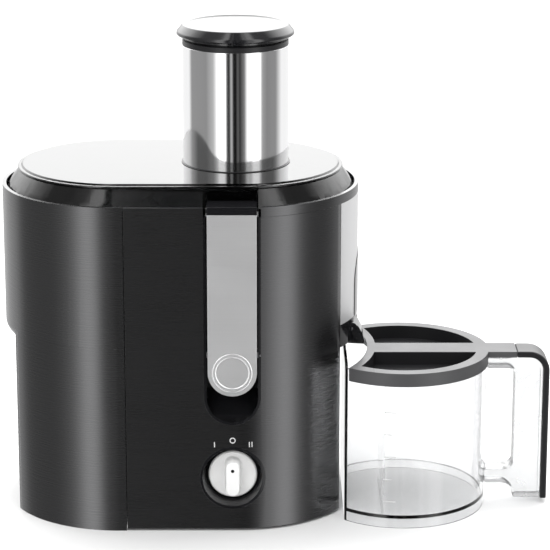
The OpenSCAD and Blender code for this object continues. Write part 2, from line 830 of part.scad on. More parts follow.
lobes = 6;

module drive_coupling() {
    color([0.82, 0.82, 0.84]) difference() {
        union() {
            ring(coupling_r, 0, coupling_z, 8);
            ring(coupling_r - 3, 0, coupling_z + 8, shaft_top + 2 - coupling_z - 8);
            for (i = [0 : lobes - 1]) rotate([0, 0, i * 360 / lobes])
                block(coupling_r - 5, coupling_r - 0.5, -1.5, 1.5, coupling_z + 7, shaft_top + 1);
        }
        ring(shaft_r, 0, coupling_z - 1, shaft_top - coupling_z + 1);
    }
}

// Plastic frame of the basket: hub, floor, ribs and rim
module filter_frame() {
    ribs = 6;
    low_r = grating_r + 2;
    color([0.15, 0.15, 0.16]) difference() {
        union() {
            ring(low_r, 0, basket_z, 3);
            ring(hub_ring_r - 3, 0, basket_z - 16, 17);
            turned([[basket_r - 2, basket_top - 5], [basket_r, basket_top - 5], [basket_r, basket_top - 2],
                [basket_r + 5, basket_top - 2], [basket_r + 5, basket_top], [basket_r - 2, basket_top]]);
            for (i = [0 : ribs - 1]) rotate([0, 0, (i + 0.5) * 360 / ribs]) at(0, 1.2, 0) rotate([90, 0, 0])
                linear_extrude(2.4) polygon([[low_r - 2, basket_z], [low_r + 1, basket_z],
                    [basket_r + 0.5, basket_top - 3], [basket_r - 1.5, basket_top - 3]]);
        }
        ring(coupling_r - 3, 0, basket_z - 17, shaft_top + 2 - basket_z + 17);
        for (i = [0 : lobes - 1]) rotate([0, 0, i * 360 / lobes])
            block(0, coupling_r - 0.5, -1.5, 1.5, basket_z - 17, shaft_top + 1);
        ring(coupling_r, 0, basket_z - 17, max(0.1, coupling_z + 8 - basket_z + 17));
        sieve_solid();
    }
}

sieve_t = 0.6;

module sieve_solid() {
    turned([[grating_r, basket_z + 3], [grating_r + sieve_t, basket_z + 3],
        [basket_r - 2, basket_top], [basket_r - 2 - sieve_t, basket_top]]);
}

module filter_sieve() {
    color([0.8, 0.8, 0.82]) sieve_solid();
}

// Disc with rings of small raised teeth
module grating_disc() {
    teeth = [6, 12, 18, 24];
    color([0.85, 0.85, 0.87]) {
        ring(grating_r, 0, basket_z + 3, 1);
        ring(9, 0, basket_z + 4, 1.5);
        for (k = [0 : 3]) for (i = [0 : teeth[k] - 1]) rotate([0, 0, (i + 0.5 * (k % 2)) * 360 / teeth[k]])
            at(14 + 10 * k, 0, basket_z + 4) rotate([0, 0, 30]) tooth();
    }
}

module tooth() {
    at(0, 0.6, 0) rotate([90, 0, 0]) linear_extrude(1.2) polygon([[-2.2, -0.5], [2.2, -0.5], [1.2, 2]]);
}

// ---- Lid ----

lid_edge = rim_t + 0.6;
lip_top_z = head_z - hook_t - slide_gap / cos(hook_slope);
lip_low_z = lip_top_z - (hook_y - seat_y) * tan(hook_slope) - lid_t;

flank_in = 10.5;

// Solid under the lid's outer surface: flange, sloping flank and platform
module lid_shape(d, top) {
    for (x = [end_x, left_x]) at(x, 0, 0) rotate_extrude() polygon(lid_profile(d, top, 0));
    at(left_x, 0, 0) rotate([90, 0, 90]) linear_extrude(end_x - left_x)
        polygon(concat(lid_profile(d, top, 0), lid_mirror(d, top)));
}

function lid_profile(d, top, x0) = [
    [x0, seat_z], [body_r - lid_edge - d, seat_z], [body_r - lid_edge - d, seat_z + 3 - d * 0.5],
    [body_r - lid_edge - flank_in - d, top - 2], [body_r - lid_edge - flank_in - d - 2, top], [x0, top]];
function lid_mirror(d, top) = [
    [0, top], [-(body_r - lid_edge - flank_in - d - 2), top], [-(body_r - lid_edge - flank_in - d), top - 2],
    [-(body_r - lid_edge - d), seat_z + 3 - d * 0.5], [-(body_r - lid_edge - d), seat_z], [0, seat_z]];

module lip_wedge(drop, x, rear) {
    z0 = lip_top_z - drop;
    at(clamp_x - x, 0, 0) rotate([90, 0, 90]) linear_extrude(2 * x) polygon([
        [rear, z0 + (rear - hook_y) * tan(hook_slope)],
        [rear, lid_z + 5], [-far, lid_z + 5], [-far, -far * tan(hook_slope) + z0 - hook_y * tan(hook_slope)]]);
}

module lid_cover() {
    color([0.85, 0.88, 0.9, 0.45]) difference() {
        union() {
            difference() {
                lid_shape(0, lid_z);
                difference() {
                    at(0, 0, -0.5) lid_shape(lid_t, lid_z - lid_t + 0.5);
                    block(clamp_x - pocket_x - lid_t, clamp_x + pocket_x + lid_t, -far, hook_y + 0.8 + lid_t,
                        seat_z - 1, lid_z + 1);
                }
            }
            block(clamp_x - pocket_x - lid_t, clamp_x + pocket_x + lid_t, seat_y, hook_y + 0.8 + lid_t,
                lip_low_z, seat_z);
        }
        // pocket for the hook, with a sloping floor
        lip_wedge(0, pocket_x, hook_y + 0.8);
        // hollow under the pocket's floor
        difference() {
            block(clamp_x - pocket_x, clamp_x + pocket_x, seat_y + lid_t, hook_y + 0.8, seat_z - far, lid_z - lid_t);
            lip_wedge(lid_t / cos(hook_slope), pocket_x + 1, hook_y + 0.8);
        }
        block(clamp_x - far, clamp_x + far, -far, seat_y, seat_z - far, lid_z - far / 2);
        block(clamp_x - pocket_x - lid_t - tiny, clamp_x + pocket_x + lid_t + tiny, -far, seat_y, 0, far);
        ring(chute_r, 0, seat_z - 1, far);
    }
}

// Feed chute, from the rim at the top to just above the grating disc
module chute_tube() {
    color([0.3, 0.3, 0.32]) difference() {
        union() {
            ring(chute_r, 0, chute_low, chute_top - chute_low);
            ring(sleeve_r, 0, sleeve_top, chute_rim_h);
            ring(sleeve_r + 1.2, 0, lid_z, sleeve_z - lid_z);
        }
        ring(bore_r, 0, chute_low - 1, chute_top - chute_low + 2);
    }
}

chute_low = basket_z + 4 + chute_gap;

module chute_sleeve() {
    color([0.8, 0.8, 0.82]) ring(sleeve_r, sleeve_r - sleeve_t, sleeve_z, sleeve_h);
}

// Collar under the lid that turns the pulp outwards over the basket's rim
module lid_baffle() {
    color([0.3, 0.3, 0.32]) turned([[chute_r, lid_z - lid_t - 3], [chute_r + 3, lid_z - lid_t - 3],
        [basket_r - 6, basket_top + 8], [basket_r - 6, basket_top + 6], [chute_r + 2, lid_z - lid_t - 5],
        [chute_r, lid_z - lid_t - 5]]);
}

// ---- Pusher ----

pusher_low = chute_low + 4;
pusher_r = bore_r - pusher_gap;

module pusher() {
    color([0.13, 0.13, 0.14]) difference() {
        ring(pusher_r, 0, pusher_low, chute_top + 1.5 - pusher_low);
        ring(pusher_r - 2.2, 0, pusher_low + 3, far);
        for (a = [0, 90]) rotate([0, 0, a]) block(-far, far, -1.5, 1.5, pusher_low - 1, pusher_low + 1.5);
    }
}

module pusher_cap() {
    flange = sleeve_r + cap_over - 0.3;
    color([0.1, 0.1, 0.11]) difference() {
        turned([[0, chute_top + slide_gap], [bore_r + 0.5, chute_top + slide_gap], [bore_r + 0.5, chute_top + 1.5],
            [sleeve_r - 0.3, chute_top + 1.5], [sleeve_r, chute_top + 3.2], [flange - 1.5, chute_top + 3.6],
            [flange, chute_top + 4.4], [flange - 0.4, chute_top + 5.6], [flange - 2.4, cap_top - 2],
            [flange - 5, cap_top], [flange - 7, cap_top], [flange - 9, cap_top - 1], [0, cap_top - 1]]);
        ring(pusher_r, pusher_r - 2.2, chute_top - 1, 2.5);
    }
}

// ---- Clamp ----

module clamp_arm() {
    tip_z = head_z - hook_t;
    color([0.06, 0.06, 0.07]) difference() {
        union() {
            front_slot(clamp_r, heel_z, head_z, plate_y + plate_t, arm_back_y);
            block(clamp_x - clamp_r, clamp_x + clamp_r, plate_y, plate_y + plate_t, plate_top, head_z);
            // hook with a sloping underside
            at(clamp_x - clamp_r, 0, 0) rotate([90, 0, 90]) linear_extrude(2 * clamp_r) polygon([
                [plate_y + 4, head_z], [hook_y - 1, head_z], [hook_y, head_z - 1], [hook_y, tip_z],
                [arm_back_y, tip_z - (hook_y - arm_back_y) * tan(hook_slope)],
                [plate_y + 4, tip_z - (hook_y - arm_back_y) * tan(hook_slope)]]);
            rod_x(pin_y, pin_z, barrel_r, clamp_x - clamp_r, clamp_x + clamp_r);
        }
        rod_x(pin_y, pin_z, pin_r + run_gap, clamp_x - clamp_r - 1, clamp_x + clamp_r + 1);
        rod_y(clamp_x, heel_z + clamp_r, ring_out_r, plate_y - 1, plate_y + plate_t + 0.8);
    }
}

plate_top = head_z - 6;
ring_out_r = 15.2;
ring_in_r = 12.2;

module clamp_plate() {
    color([0.8, 0.8, 0.82]) difference() {
        front_slot(clamp_r, heel_z, plate_top, plate_y, plate_y + plate_t);
        rod_y(clamp_x, heel_z + clamp_r, ring_out_r, plate_y - 1, plate_y + plate_t + 1);
    }
}

module clamp_ring() {
    color([0.9, 0.9, 0.92]) at(clamp_x, plate_y + plate_t, heel_z + clamp_r) rotate([90, 0, 0]) rotate_extrude()
        polygon([[0, -0.8], [ring_out_r, -0.8], [ring_out_r, plate_t], [ring_out_r - 0.8, plate_t + ring_proud],
            [ring_in_r + 0.8, plate_t + ring_proud], [ring_in_r, plate_t], [ring_in_r, plate_t - 0.4], [0, plate_t - 0.4]]);
}

// ---- Knob ----

module control_knob() {
    face_y = front_y + knob_in;
    color([0.93, 0.93, 0.92]) {
        rod_y(clamp_x, knob_z, knob_r, face_y, front_y + dish_d - slide_gap);
        difference() {
            intersection() {
                block(clamp_x - grip_w / 2, clamp_x + grip_w / 2, grip_y, face_y + 1,
                    knob_z - far, knob_z + far);
                rod_y(clamp_x, knob_z, 14, front_y - far, front_y + far);
            }
            rod_y(clamp_x, knob_z + 7, dot_r, front_y - far, grip_y + 0.8);
        }
    }
}

dot_r = 1.3;

module knob_dot() {
    color([0.1, 0.1, 0.1]) rod_y(clamp_x, knob_z + 7, dot_r, grip_y,
        grip_y + 0.8);
}

module knob_spindle() {
    color([0.7, 0.7, 0.7]) rod_y(clamp_x, knob_z, spindle_r, front_y + dish_d - slide_gap, switch_y + 8.7);
}

// ---- Pulp container ----

module container_outer(inset, z0, z1) {
    mid_z = panel_z - 6;
    x1 = seam_x - gap / 2 - inset;
    at(0, 0, z0) linear_extrude(mid_z - z0) plan_between(inset, tuck_x + inset, x1);
    intersection() {
        at(0, 0, mid_z - 10) linear_extrude(z1 - mid_z + 10) plan_between(inset, -far, x1);
        union() {
            at(left_x, 0, 0) rotate_extrude() overhang_profile(inset, mid_z - 8, z1);
            block(left_x, far, -far, far, mid_z - 10, z1);
        }
    }
}

// Half section of the overhanging part, with a round lower edge
module overhang_profile(inset, z0, z1) {
    r = body_r - inset;
    edge = 9;
    difference() {
        at(0, z0 + inset, 0) square([r, z1 - z0 - inset]);
        difference() {
            at(r - edge, z0 - 1, 0) square([edge + 1, edge + 1 + inset]);
            at(r - edge, z0 + edge + inset, 0) circle(r = edge);
        }
    }
}

module pulp_container() {
    x1 = seam_x - gap / 2;
    color([0.2, 0.2, 0.22]) difference() {
        container_outer(0, 0, rim_z);
        difference() {
            container_outer(wall, wall, ledge_z - 1);
            block(-far, far, -far, far, ledge_z - 1, far);
        }
        at(0, 0, ledge_z - 2) linear_extrude(rim_z) plan_between(rim_t + ledge_w, -far, far);
        at(0, 0, seat_z - slide_gap) linear_extrude(rim_z) plan_between(rim_t, -far, far);
        block(x1 - wall - 1, x1 + 1, -lip_y - 1, lip_y + 1, gutter_z - 2, far);
    }
}

// ---- Jug ----

module jug_plan(r, flat) {
    intersection() {
        circle(r = r);
        at(-flat, -r - 1, 0) square([flat + r + 1, 2 * r + 2]);
    }
}

module jug_solid(inset, z0, z1) {
    at(jug_x, jug_y, z0) linear_extrude(z1 - z0) jug_plan(jug_r - inset, jug_flat - inset);
}

module jug_body() {
    color([0.85, 0.9, 0.95, 0.4]) difference() {
        jug_solid(0, 0, jug_h);
        jug_solid(jug_wall, jug_foot + 2.5, jug_h + 1);
        jug_solid(jug_wall, -1, jug_foot);
    }
}

function mark_z(i) = jug_foot + 14 + 18 * i;

module jug_marks() {
    color([0.5, 0.5, 0.5]) for (i = [0 : 4]) at(jug_x, jug_y, mark_z(i)) rotate([0, 0, 256])
        rotate_extrude(angle = i % 2 == 0 ? 8 : 5) at(jug_r, 0, 0) square([0.15, 0.7]);
}

grip_in = jug_r + 22;
hole_r = 6;

// Loop handle; everything is measured from the jug's axis
module jug_handle() {
    x1 = handle_x - jug_x - strip_t;
    arm = 9.5;
    foot_z = 4;
    low = 28;
    r = strip_r - strip_t;
    color([0.92, 0.93, 0.94, 0.7]) difference() {
        at(jug_x, jug_y + grip_w2 / 2, 0) rotate([90, 0, 0]) linear_extrude(grip_w2) difference() {
            union() {
                at(jug_r * 0.9, low - 12, 0) square([x1 - r - jug_r * 0.9, grip_top - low + 12]);
                at(grip_in, foot_z, 0) square([x1 - grip_in, grip_top - r - foot_z]);
                at(x1 - r, grip_top - r, 0) circle(r = r);
                polygon([[grip_in - 6, low - 12], [grip_in + 6, foot_z], [x1, foot_z], [x1, low], [grip_in, low]]);
            }
            at(0, low + hole_r, 0) square([grip_in, grip_top - arm - low - 2 * hole_r]);
            at(0, low, 0) square([grip_in - hole_r, grip_top - arm - low]);
            for (z = [low + hole_r, grip_top - arm - hole_r]) at(grip_in - hole_r, z, 0) circle(r = hole_r);
        }
        at(jug_x, jug_y, 0) cylinder(r = jug_r, h = far);
    }
}

strip_r = 16;

// Strip that runs over the top and down the back of the handle
module handle_strip() {
    x0 = seam_in + slide_gap;
    x1 = handle_x - jug_x;
    r = strip_r - strip_t;
    color([0.4, 0.4, 0.41]) at(jug_x, jug_y + bar_w / 2, 0) rotate([90, 0, 0]) linear_extrude(bar_w) difference() {
        union() {
            at(x0, 4, 0) square([x1 - x0 - strip_r, jug_lid_z - 4]);
            at(x0, 4, 0) square([x1 - x0, jug_lid_z - strip_r - 4]);
            at(x1 - strip_r, jug_lid_z - strip_r, 0) circle(r = strip_r);
        }
        at(-far, 0, 0) square([x0 + far, far]);
        square([x1 - strip_r, grip_top]);
        square([x1 - strip_t, grip_top - r]);
        at(x1 - strip_r, grip_top - r, 0) circle(r = r);
    }
}

// Plan of the jug's lid, with a hollow left side round the spout
module jug_lid_plan(r) {
    difference() {
        at(jug_x, jug_y, 0) circle(r = r);
        at(notch_x, notch_y, 0) circle(r = notch_r);
    }
}

tray_d = 12;

// Outline of the rear (s = 1) or front (s = -1) tray, grown by g
module tray_outline(s, g) {
    difference() {
        at(jug_x, jug_y, 0) circle(r = lid_r - lid_ring_w + g);
        at(notch_x, notch_y, 0) circle(r = notch_r + lid_ring_w - 3 - g);
        at(jug_x - far / 2, s > 0 ? jug_y + bar_w / 2 - g - far : jug_y - bar_w / 2 + g, 0) square([far, far]);
    }
}

module jug_lid() {
    color([0.42, 0.42, 0.43]) difference() {
        union() {
            at(0, 0, jug_h + slide_gap) linear_extrude(jug_lid_z - jug_h - slide_gap) jug_lid_plan(lid_r);
            at(0, 0, jug_lid_z - skirt_h) linear_extrude(skirt_h) difference() {
                jug_lid_plan(lid_r);
                at(jug_x, jug_y, 0) circle(r = lid_r - skirt_t);
            }
            at(0, 0, jug_lid_z - bar_t) linear_extrude(bar_t) difference() {
                at(jug_x, jug_y - bar_w / 2, 0) square([seam_in, bar_w]);
                at(jug_x, jug_y, 0) circle(r = lid_r - skirt_t / 2);
            }
            for (s = [-1, 1]) at(0, 0, jug_lid_z - tray_d) linear_extrude(tray_d) tray_outline(s, 1.5);
        }
        for (s = [-1, 1]) at(0, 0, jug_lid_z - tray_d + 1.5) linear_extrude(tray_d) tray_outline(s, 0);
        block(jug_x, jug_x + jug_r + 5, jug_y - grip_w2 / 2 - gap, jug_y + grip_w2 / 2 + gap,
            0, grip_top + slide_gap);
    }
}

// Plate that hangs under the lid's bar and holds back the froth
module froth_separator() {
    color([0.5, 0.5, 0.52]) {
        block(jug_x - 16, jug_x - 14, jug_y - 46, jug_y + 46, jug_foot + 12, jug_lid_z - tray_d);
        block(jug_x - 16, jug_x - 14, jug_y - bar_w / 2 + 2, jug_y + bar_w / 2 - 2, jug_lid_z - tray_d - 1,
            jug_h + slide_gap);
    }
}

placed() motor_housing();
placed() top_trim_ring();
placed() side_panel();
placed() spout_arch();
placed() base_plate();
placed() rubber_feet();
placed() base_screws();
placed() clamp_recess();
placed() clamp_pivot_pin();
placed() knob_dish();
placed() speed_marks();
placed() speed_switch();
placed() motor_stator();
placed() field_coils();
placed() upper_bracket();
placed() lower_bracket();
placed() motor_mounts();
placed() upper_bearing();
placed() lower_bearing();
placed() brush_holders();
placed() carbon_brushes();
placed() control_board();
placed() interlock_switch();
placed() cord_gland();
placed() rear_vent();
placed() shaft_seal();
placed() juice_collector();
placed() spout_hood();
placed() spout_pin();
placed() motor_bolts();
placed() rotor_shaft();
placed() armature();
placed() commutator();
placed() cooling_fan();
placed() drive_coupling();
placed() filter_frame();
placed() filter_sieve();
placed() grating_disc();
placed() lid_cover();
placed() chute_tube();
placed() chute_sleeve();
placed() lid_baffle();
placed() pusher();
placed() pusher_cap();
placed() clamp_arm();
placed() clamp_plate();
placed() clamp_ring();
placed() control_knob();
placed() knob_spindle();
placed() knob_dot();
placed() pulp_container();
placed() jug_body();
placed() jug_handle();
placed() handle_strip();
placed() jug_marks();
placed() jug_lid();
placed() froth_separator();
placed() drip_stop();
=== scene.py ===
"""Looks of the centrifugal juicer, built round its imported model. Everything is in metres."""

import json
import math

import bmesh
import bpy
from mathutils import Matrix, Vector


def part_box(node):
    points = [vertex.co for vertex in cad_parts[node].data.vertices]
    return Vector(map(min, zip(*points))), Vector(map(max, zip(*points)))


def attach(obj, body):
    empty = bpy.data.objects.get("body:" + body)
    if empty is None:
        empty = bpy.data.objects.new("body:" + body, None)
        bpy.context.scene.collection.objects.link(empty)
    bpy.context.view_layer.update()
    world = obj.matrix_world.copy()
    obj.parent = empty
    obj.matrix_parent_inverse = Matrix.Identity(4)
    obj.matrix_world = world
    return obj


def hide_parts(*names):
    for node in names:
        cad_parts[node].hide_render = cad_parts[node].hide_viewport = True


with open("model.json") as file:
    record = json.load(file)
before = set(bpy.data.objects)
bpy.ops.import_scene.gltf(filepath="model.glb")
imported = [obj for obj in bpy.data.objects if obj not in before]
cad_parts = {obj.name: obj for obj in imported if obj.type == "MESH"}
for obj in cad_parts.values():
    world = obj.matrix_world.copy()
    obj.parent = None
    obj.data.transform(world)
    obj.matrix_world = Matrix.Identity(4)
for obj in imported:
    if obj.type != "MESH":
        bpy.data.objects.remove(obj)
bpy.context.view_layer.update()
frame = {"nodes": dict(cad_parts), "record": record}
nodes = frame["nodes"]

MM = 0.001


# ---- Node trees ----


class Tree:
    """Builds one material's node tree, a node at a time."""

    def __init__(self, name):
        self.material = bpy.data.materials.new(name)
        self.material.use_nodes = True
        self.nodes = self.material.node_tree.nodes
        self.links = self.material.node_tree.links
        self.shader = self.nodes["Principled BSDF"]
        self.output = self.nodes["Material Output"]
        self.place = self.add("ShaderNodeTexCoord").outputs["Object"]

    def add(self, kind, **settings):
        node = self.nodes.new(kind)
        for key, value in settings.items():
            setattr(node, key, value)
        return node

    def link(self, source, target):
        self.links.new(source, target)

    def stretched(self, scale):
        mapping = self.add("ShaderNodeMapping")
        mapping.inputs["Scale"].default_value = scale
        self.link(self.place, mapping.inputs["Vector"])
        return mapping.outputs["Vector"]

    def noise(self, scale, detail=3.0, stretch=(1, 1, 1)):
        noise = self.add("ShaderNodeTexNoise")
        noise.inputs["Scale"].default_value = scale
        noise.inputs["Detail"].default_value = detail
        self.link(self.stretched(stretch), noise.inputs["Vector"])
        return noise.outputs["Fac"]

    def to_range(self, value, low, high, from_low=0.3, from_high=0.7):
        node = self.add("ShaderNodeMapRange")
        ends = {"From Min": from_low, "From Max": from_high, "To Min": low, "To Max": high}
        for key, number in ends.items():
            node.inputs[key].default_value = number
        self.link(value, node.inputs["Value"])
        return node.outputs["Result"]

    def math(self, operation, a, b):
        node = self.add("ShaderNodeMath", operation=operation)
        for socket, value in zip(node.inputs, (a, b)):
            if hasattr(value, "default_value"):
                self.link(value, socket)
            else:
                socket.default_value = value
        return node.outputs["Value"]

    def mix(self, fac, a, b):
        node = self.add("ShaderNodeMix", data_type="RGBA")
        node.inputs["A"].default_value = (*a, 1)
        node.inputs["B"].default_value = (*b, 1)
        self.link(fac, node.inputs["Factor"])
        return node.outputs["Result"]

    def bump(self, height, strength, distance):
        node = self.add("ShaderNodeBump")
        node.inputs["Strength"].default_value = strength
        node.inputs["Distance"].default_value = distance
        self.link(height, node.inputs["Height"])
        self.link(node.outputs["Normal"], self.shader.inputs["Normal"])

    def set(self, **values):
        for key, value in values.items():
            self.shader.inputs[key.replace("_", " ")].default_value = value


def shade(colour, factor):
    return tuple(min(1.0, c * factor) for c in colour)


def plastic(name, colour, rough, grain=900.0, bump=0.05, spread=0.05, level=0.5, coat=0.0):
    """A moulded plastic with a fine grain and slow changes in its sheen."""
    t = Tree(name)
    slow = t.noise(30.0)
    fine = t.noise(grain, detail=2.0)
    t.link(t.mix(slow, shade(colour, 0.93), shade(colour, 1.07)), t.shader.inputs["Base Color"])
    t.link(t.to_range(slow, rough - spread, rough + spread), t.shader.inputs["Roughness"])
    t.set(Specular_IOR_Level=level, Coat_Weight=coat, Coat_Roughness=0.05)
    t.bump(fine, bump, 0.1 * MM)
    return t.material


def metal(name, colour, rough, stretch, bump=0.04, spread=0.06, tone=0.04, anisotropic=0.0, metallic=1.0):
    """A metal with fine brushed lines: stretch is small along the lines and large across them."""
    t = Tree(name)
    lines = t.noise(1.0, detail=4.0, stretch=stretch)
    slow = t.noise(25.0)
    t.link(t.mix(lines, shade(colour, 1 - tone), shade(colour, 1 + tone)), t.shader.inputs["Base Color"])
    mixed = t.math("ADD", t.math("MULTIPLY", lines, 0.7), t.math("MULTIPLY", slow, 0.3))
    t.link(t.to_range(mixed, rough - spread, rough + spread), t.shader.inputs["Roughness"])
    t.set(Metallic=metallic, Anisotropic=anisotropic)
    t.bump(lines, bump, 0.05 * MM)
    return t.material


def perforated(name, colour, holes_per_metre):
    """A metal sheet with fine holes, drawn as dark dots of painted shade that are sunk a little."""
    t = Tree(name)
    dots = t.add("ShaderNodeTexVoronoi")
    dots.inputs["Scale"].default_value = holes_per_metre
    t.link(t.place, dots.inputs["Vector"])
    sheet = t.to_range(dots.outputs["Distance"], 0.0, 1.0, from_low=0.24, from_high=0.34)
    # painted shade: near black where the sheet is cut through
    t.link(t.mix(sheet, (0.01, 0.01, 0.01), colour), t.shader.inputs["Base Color"])
    t.link(t.to_range(t.noise(40.0), 0.25, 0.35), t.shader.inputs["Roughness"])
    t.set(Metallic=1.0)
    t.bump(sheet, 0.3, 0.2 * MM)
    return t.material


def clear(name, colour, rough=0.03, ior=1.45, ripple=0.02, shadow=0.96):
    """A clear moulded plastic, with faint waves in its surface."""
    t = Tree(name)
    waves = t.noise(35.0, detail=2.0)
    t.set(Base_Color=(*colour, 1), Transmission_Weight=1.0, IOR=ior)
    t.link(t.to_range(waves, rough * 0.6, rough * 1.4), t.shader.inputs["Roughness"])
    t.bump(waves, ripple, 0.3 * MM)
    lamp_ray = t.add("ShaderNodeLightPath").outputs["Is Shadow Ray"]
    through = t.add("ShaderNodeBsdfTransparent")
    through.inputs["Color"].default_value = (*shade(colour, shadow), 1)
    either = t.add("ShaderNodeMixShader")
    t.link(lamp_ray, either.inputs["Fac"])
    t.link(t.shader.outputs["BSDF"], either.inputs[1])
    t.link(through.outputs["BSDF"], either.inputs[2])
    t.link(either.outputs["Shader"], t.output.inputs["Surface"])
    return t.material


# Stretches for brushed lines: across the height, along the height, and round a disc
LEVEL_LINES = (14, 14, 2600)
FAINT_LINES = (40, 40, 5200)
UPRIGHT_LINES = (1800, 1800, 10)

MATERIALS = {
    "housing_plastic": metal("dark_satin_body", (0.105, 0.105, 0.107), 0.28, FAINT_LINES, bump=0.002,
                             spread=0.02, tone=0.02),
    "container_plastic": metal("dark_satin_container", (0.115, 0.115, 0.117), 0.27, FAINT_LINES, bump=0.002,
                               spread=0.02, tone=0.03),
    "gloss_black": plastic("gloss_black", (0.008, 0.008, 0.009), 0.09, bump=0.01, spread=0.03, coat=0.3),
    "brushed_panel": metal("brushed_steel", (0.66, 0.66, 0.665), 0.36, LEVEL_LINES, bump=0.06,
                           anisotropic=0.3, metallic=0.78),
    "chute_steel": metal("polished_steel", (0.86, 0.86, 0.865), 0.09, UPRIGHT_LINES, bump=0.008, spread=0.02),
    "bright_steel": metal("bright_steel", (0.9, 0.9, 0.905), 0.2, LEVEL_LINES, bump=0.01,
                          spread=0.03, metallic=0.72),
    "plain_steel": metal("plain_steel", (0.55, 0.55, 0.57), 0.3, LEVEL_LINES),
    "sieve_steel": perforated("sieve_steel", (0.62, 0.62, 0.64), 900),
    "black_rubber": plastic("black_rubber", (0.02, 0.02, 0.02), 0.75, grain=500, bump=0.2, level=0.3),
    "inner_black": plastic("inner_black", (0.018, 0.018, 0.02), 0.42, bump=0.06),
    "mark_grey": plastic("mark_grey", (0.55, 0.55, 0.55), 0.5),
    "laminated_iron": metal("laminated_iron", (0.3, 0.3, 0.33), 0.5, (20, 20, 1500), bump=0.3, tone=0.2),
    "copper_coil": metal("copper_coil", (0.7, 0.3, 0.13), 0.35, (600, 600, 600), bump=0.3, tone=0.15),
    "cast_aluminium": metal("cast_aluminium", (0.62, 0.63, 0.65), 0.5, (300, 300, 300), bump=0.2),
    "brass_trim": metal("brass_trim", (0.62, 0.45, 0.22), 0.35, (200, 200, 200)),
    "carbon": plastic("carbon", (0.02, 0.02, 0.02), 0.6),
    "board_green": plastic("board_green", (0.02, 0.14, 0.06), 0.35),
    # painted shade: the clear lid's near-black tint stands for the shaded inside seen through it
    "clear_lid": clear("clear_lid", (0.05, 0.052, 0.054), rough=0.02, ior=1.54),
    "smoke_grey": plastic("smoke_grey", (0.014, 0.014, 0.015), 0.32, bump=0.02, level=0.3),
    "knob_white": plastic("knob_white", (0.74, 0.74, 0.735), 0.38, bump=0.05, spread=0.04),
    "clear_jug": clear("clear_jug", (0.87, 0.873, 0.877), rough=0.015, ior=1.42, shadow=1.12),
    # near-colourless clear plastic; on the jug's level faces it is painted light, showing the foot lighter
    # than the shade under the jug leaves it
    "clear_base": clear("clear_base", (0.99, 0.99, 0.99), rough=0.015, ior=1.42, shadow=1.0),
    "handle_clear": clear("clear_handle", (0.64, 0.645, 0.65), rough=0.22, ior=1.42, shadow=1.4),
    "lid_grey": plastic("lid_grey", (0.06, 0.06, 0.062), 0.4, bump=0.04, level=0.3),
    # painted shade: a black copy for the jug lid's recessed trays
    "tray_painted_shade": plastic("tray_painted_shade", (0.012, 0.012, 0.013), 0.4, bump=0.03, level=0.25),
}

SLOT_OF = {entry["node"]: entry["material_slot"] for entry in frame["record"]["subparts"]}


def wear(obj, material):
    obj.data.materials.clear()
    obj.data.materials.append(material)


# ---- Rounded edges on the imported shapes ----

ROUNDING = {
    "motor_housing": 0.5, "top_trim_ring": 0.35, "pulp_container": 0.6, "side_panel": 0.25, "spout_arch": 0.5,
    "clamp_recess": 0.4, "clamp_arm": 0.7, "clamp_plate": 0.35, "knob_dish": 0.5, "spout_hood": 0.4,
    "drip_stop": 0.6, "lid_cover": 0.8, "chute_sleeve": 0.25, "chute_tube": 0.6, "pusher": 0.4,
    "jug_body": 0.6, "jug_lid": 0.5, "handle_strip": 1.2, "jug_handle": 2.4, "rubber_feet": 0.4,
    "juice_collector": 0.4, "clamp_ring": 0.2,
}


def round_edges(obj, width):
    """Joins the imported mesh's faces, then gives its sharp edges a small radius."""
    weld = obj.modifiers.new("weld", "WELD")
    weld.merge_threshold = 0.002 * MM
    flat = obj.modifiers.new("flat", "DECIMATE")
    flat.decimate_type = "DISSOLVE"
    flat.angle_limit = math.radians(0.5)
    flat.delimit = {"NORMAL"}
    bevel = obj.modifiers.new("bevel", "BEVEL")
    bevel.width = width * MM
    bevel.segments = 2
    bevel.limit_method = "ANGLE"
    bevel.angle_limit = math.radians(35)
    bevel.miter_outer = "MITER_ARC"
    normals = obj.modifiers.new("normals", "WEIGHTED_NORMAL")
    normals.weight = 80
    normals.keep_sharp = True


for name, obj in nodes.items():
    wear(obj, MATERIALS[SLOT_OF[name]])
    for polygon in obj.data.polygons:
        polygon.use_smooth = True
    if name in ROUNDING:
        round_edges(obj, ROUNDING[name])


RING_WIDTH = 9.5
TRAY_DEPTH = 11.5


def paint_tray_shade():
    """The jug's lid keeps its grey on its rim, bar and skirt; its trays get a black copy, painted shade that
    stands for the dark in the deep pockets.
    """
    lid = nodes["jug_lid"]
    lid.data.materials.append(MATERIALS["tray_painted_shade"])
    low, high = (Vector(c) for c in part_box("jug_lid"))
    jug_low, jug_high = (Vector(c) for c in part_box("jug_body"))
    lid_radius = (high.y - low.y) / 2
    axis_x = jug_high.x - (jug_high.y - jug_low.y) / 2
    axis_y = (high.y + low.y) / 2
    for polygon in lid.data.polygons:
        x, y, z = lid.matrix_world @ polygon.center
        inside = math.hypot(x - axis_x, y - axis_y) < lid_radius - (RING_WIDTH - 0.3) * MM
        in_depth = high.z - TRAY_DEPTH * MM < z < high.z - MM
        outer_side = x < axis_x and polygon.normal.x < -0.5
        if inside and in_depth and polygon.normal.z > -0.5 and not outer_side:
            polygon.material_index = 1


paint_tray_shade()


def plan_centres(low, high):
    """The x of the left and the right centre of a round-ended plan."""
    radius = (high.y - low.y) / 2
    return low.x + radius, high.x - radius


